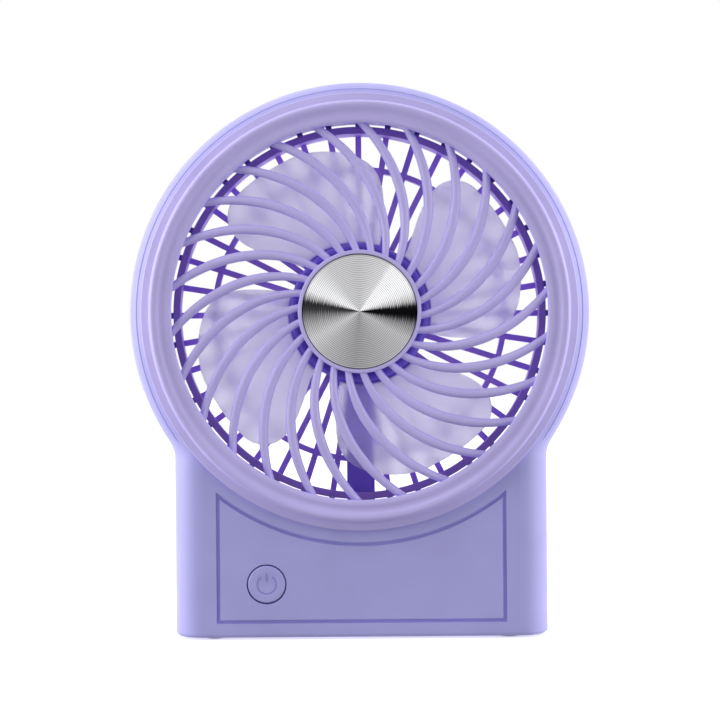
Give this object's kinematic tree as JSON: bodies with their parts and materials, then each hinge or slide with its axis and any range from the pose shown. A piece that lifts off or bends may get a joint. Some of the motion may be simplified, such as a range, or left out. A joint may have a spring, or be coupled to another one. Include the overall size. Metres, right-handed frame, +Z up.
{
  "type": "desk fan",
  "caption": "Small rechargeable desk fan: round caged impeller in a flat-footed upright housing, with a push button in the base and a spun metal disc on the grille.",
  "frame": {"origin": "under the middle of the fan, on the surface that its feet stand on", "axes": "+Z up, -Y is the front that the air leaves by, +X to the right seen from the front"},
  "size_m": [0.145, 0.038, 0.1741],
  "materials": {
    "shell_plastic": "fine satin moulding texture",
    "grille_plastic": "satin moulded plastic",
    "blade_plastic": "frosted translucent moulding",
    "spun_metal": "spun, fine concentric grooves",
    "button_plastic": "satin, shallow dish",
    "steel": "plain steel",
    "zinc": "zinc plated",
    "bronze": "sintered bronze",
    "copper": "enamelled copper",
    "magnet": "dark ferrite",
    "black_plastic": "moulded",
    "white_plastic": "moulded",
    "board": "solder masked",
    "wire_red": "PVC sleeve",
    "cell_wrap": "shrink film",
    "feet_rubber": "soft",
    "clear_plastic": "clear light pipe"
  },
  "bodies": {
    "housing": {"front_housing": "shell_plastic", "rear_housing": "shell_plastic", "front_grille": "grille_plastic", "front_badge": "spun_metal", "rear_grille": "grille_plastic", "wire_cover": "grille_plastic", "housing_screws": "zinc", "rubber_feet": "feet_rubber", "grille_screws": "zinc", "motor_retainer": "steel", "retainer_screws": "zinc", "motor_can": "steel", "motor_magnets": "magnet", "motor_end_cap": "white_plastic", "motor_terminals": "zinc", "motor_brushes": "copper", "front_bushing": "bronze", "rear_bushing": "bronze", "motor_wires": "wire_red", "battery_cell": "cell_wrap", "battery_contacts": "zinc", "battery_holder": "black_plastic", "battery_wires": "wire_red", "main_board": "board", "tact_switch": "black_plastic", "charge_board": "board", "charge_socket": "steel", "charge_lamp": "clear_plastic", "board_screws": "zinc"},
    "rotor": {"impeller": "blade_plastic", "motor_shaft": "steel", "rotor_core": "steel", "rotor_windings": "copper", "commutator": "copper"},
    "button": {"power_button": "button_plastic", "switch_plunger": "black_plastic"}
  },
  "joints": [
    {"name": "rotor_spin", "type": "hinge", "parent": "housing", "child": "rotor", "pos_m": [0, 0, 0.1016], "axis": [0, 1, 0], "continuous": true},
    {"name": "button_press", "type": "slide", "parent": "housing", "child": "button", "axis": [0, 1, 0], "range_m": [0, 0.0005], "stiffness_N_per_m": 1500, "springref_m": -0.0002}
  ]
}
